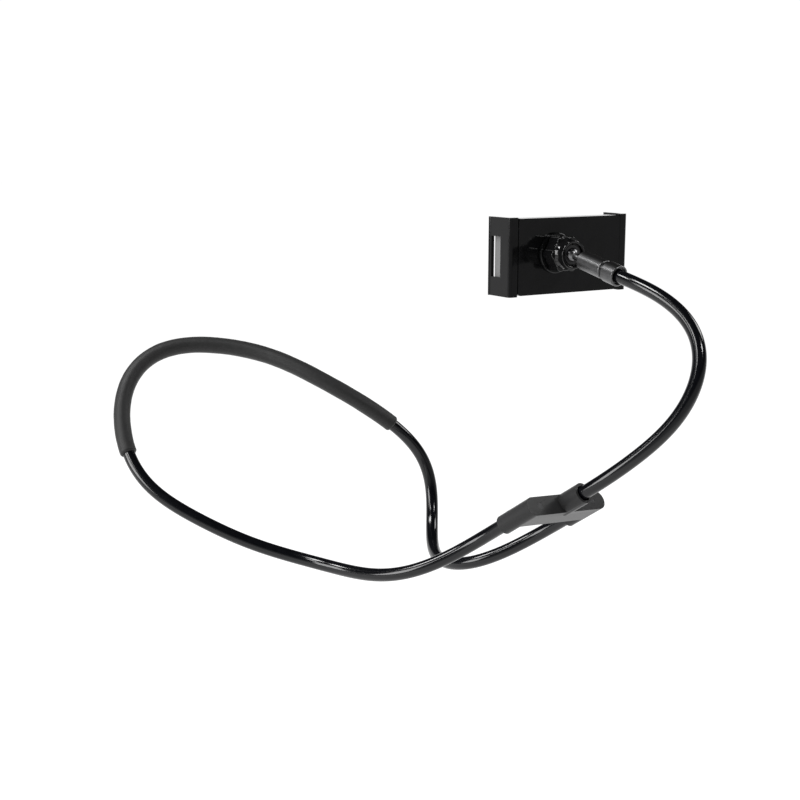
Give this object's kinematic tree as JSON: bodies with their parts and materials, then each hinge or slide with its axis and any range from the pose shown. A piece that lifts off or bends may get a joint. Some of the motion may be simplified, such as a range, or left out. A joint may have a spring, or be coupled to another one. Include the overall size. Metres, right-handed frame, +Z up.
{
  "type": "neck phone holder",
  "caption": "Hands-free phone holder: a bendable tube loop with a foam nape sleeve, a three-way connector, a bendable arm, a ball joint and a spring clamp.",
  "frame": {"origin": "on the neck loop where the foam sleeve crosses the nape", "axes": "+Z up as worn, -Y the way the wearer faces, +X to the side of the wearer's left hand; the clamp's phone face looks along +Y"},
  "size_m": [0.2889, 0.3185, 0.221],
  "materials": {
    "tube_skin": "glossy",
    "alloy": "drawn",
    "brass": "turned",
    "foam": "matte foam",
    "connector_plastic": "satin",
    "screw_steel": "zinc plated",
    "gunmetal": "polished",
    "stud_steel": "polished",
    "black_nylon": "semi-gloss",
    "gloss_black": "glossy",
    "black_rubber": "matte",
    "grey_rubber": "matte"
  },
  "bodies": {
    "neck": {"neck_sleeve": "tube_skin", "neck_core": "alloy", "neck_end_plugs": "brass", "foam_sleeve": "foam", "connector_back": "connector_plastic", "connector_front": "connector_plastic", "connector_screws": "screw_steel", "grub_screws": "screw_steel", "arm_end_plug": "brass", "arm_sleeve_1": "tube_skin", "arm_core_1": "alloy"},
    "arm_2": {"arm_sleeve_2": "tube_skin", "arm_core_2": "alloy"},
    "arm_3": {"arm_sleeve_3": "tube_skin", "arm_core_3": "alloy"},
    "arm_4": {"arm_sleeve_4": "tube_skin", "arm_core_4": "alloy"},
    "arm_5": {"arm_sleeve_5": "tube_skin", "arm_core_5": "alloy", "collar": "gunmetal", "swivel_washer": "black_nylon"},
    "stud": {"ferrule": "gunmetal", "ball_stud": "stud_steel", "retaining_clip": "screw_steel"},
    "seat": {"ball_seat": "black_nylon"},
    "clamp": {"ball_socket": "gloss_black", "socket_screws": "screw_steel", "back_cover": "gloss_black", "front_cover": "gloss_black", "phone_pad": "black_rubber", "fixed_jaw": "gloss_black", "fixed_jaw_pad": "grey_rubber", "jaw_screws": "screw_steel", "guide_rods": "stud_steel", "clamp_springs": "stud_steel", "cover_spring_pins": "stud_steel", "cover_screws": "screw_steel"},
    "nut": {"lock_nut": "black_nylon"},
    "ring": {"pressure_ring": "stud_steel"},
    "slider": {"sliding_jaw": "gloss_black", "sliding_jaw_pad": "grey_rubber", "spring_hooks": "stud_steel", "jaw_spring_pins": "stud_steel"}
  },
  "joints": [
    {"name": "bend_1", "type": "hinge", "parent": "neck", "child": "arm_2", "pos_m": [0.116, -0.266, -0.031], "axis": [0.7715, 0.6363, 0], "range_deg": [-20, 20]},
    {"name": "bend_2", "type": "hinge", "parent": "arm_2", "child": "arm_3", "pos_m": [0.133, -0.282, -0.005], "axis": [0.1005, 0.9762, 0.1924], "range_deg": [-20, 20]},
    {"name": "bend_3", "type": "hinge", "parent": "arm_3", "child": "arm_4", "pos_m": [0.147, -0.28, 0.029], "axis": [0.9763, -0.0984, -0.1929], "range_deg": [-20, 20]},
    {"name": "bend_4", "type": "hinge", "parent": "arm_4", "child": "arm_5", "pos_m": [0.147, -0.25, 0.054], "axis": [0.0354, -0.4714, 0.8812], "range_deg": [-20, 20]},
    {"name": "stud_spin", "type": "hinge", "parent": "arm_5", "child": "stud", "pos_m": [0.142, -0.1735, 0.0735], "axis": [0, -0.9781, -0.2079], "continuous": true},
    {"name": "clamp_tilt", "type": "hinge", "parent": "stud", "child": "seat", "pos_m": [0.142, -0.1735, 0.0735], "axis": [1, 0, 0], "range_deg": [-13, 37]},
    {"name": "clamp_turn", "type": "hinge", "parent": "seat", "child": "clamp", "pos_m": [0.142, -0.1735, 0.0735], "axis": [0, 0, 1], "range_deg": [-25, 25]},
    {"name": "nut_turn", "type": "hinge", "parent": "clamp", "child": "nut", "pos_m": [0.142, -0.1575, 0.0735], "axis": [0, -1, 0], "range_deg": [0, 270]},
    {"name": "ring_slide", "type": "slide", "parent": "clamp", "child": "ring", "axis": [0, -1, 0], "range_m": [0, 0.00075]},
    {"name": "jaw_slide", "type": "slide", "parent": "clamp", "child": "slider", "axis": [1, 0, 0], "range_m": [0, 0.024], "stiffness_N_per_m": 150, "springref_m": -0.02}
  ],
  "couplings": [
    {"joint": "ring_slide", "follows": "nut_turn", "m_per_rad": 0.000159}
  ]
}
